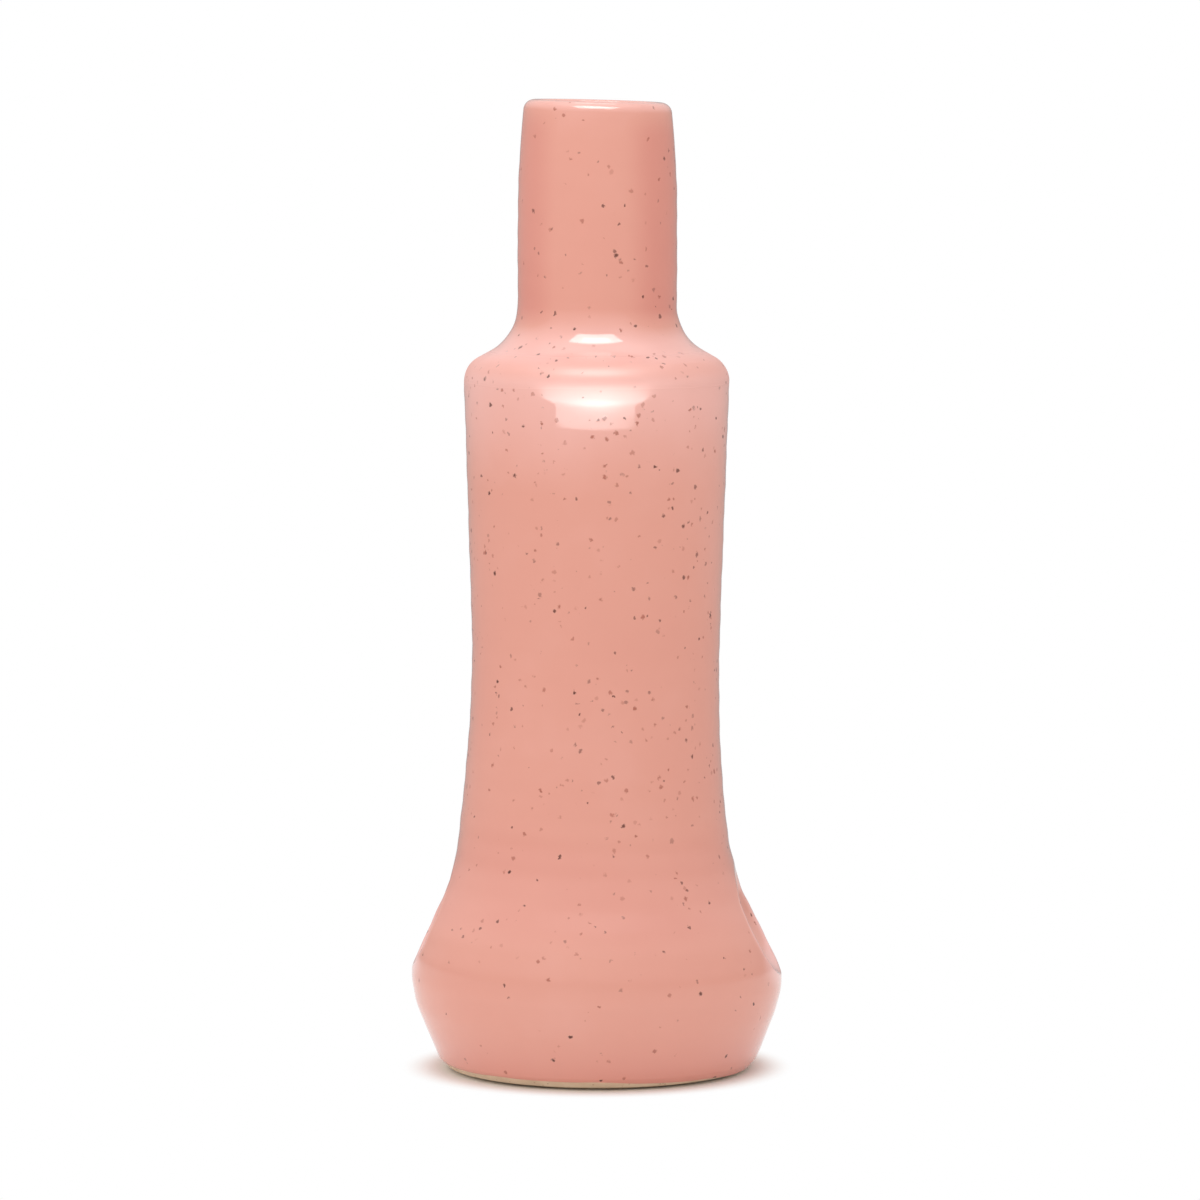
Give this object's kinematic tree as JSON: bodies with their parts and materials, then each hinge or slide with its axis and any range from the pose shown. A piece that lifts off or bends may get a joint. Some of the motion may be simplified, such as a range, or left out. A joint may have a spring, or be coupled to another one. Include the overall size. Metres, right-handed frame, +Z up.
{
  "type": "bottle vase",
  "caption": "Thrown stoneware bottle vase with a tall neck, sloping shoulder, waisted side, thumb-pressed flared belly, glazed inside and out over a bare trimmed foot.",
  "frame": {"origin": "on the ground under the middle of the foot", "axes": "+Z up along the vase's axis, +X and -X through the two pressed thumb marks"},
  "size_m": [0.0974, 0.0974, 0.254],
  "materials": {
    "clay": "bare fired stoneware, matt",
    "glaze": "glossy pink glaze with iron specks",
    "liner_glaze": "glossy pink glaze with iron specks"
  },
  "bodies": {
    "root": {"stoneware_body": "clay", "outer_glaze": "glaze", "inner_glaze": "liner_glaze"}
  },
  "joints": []
}
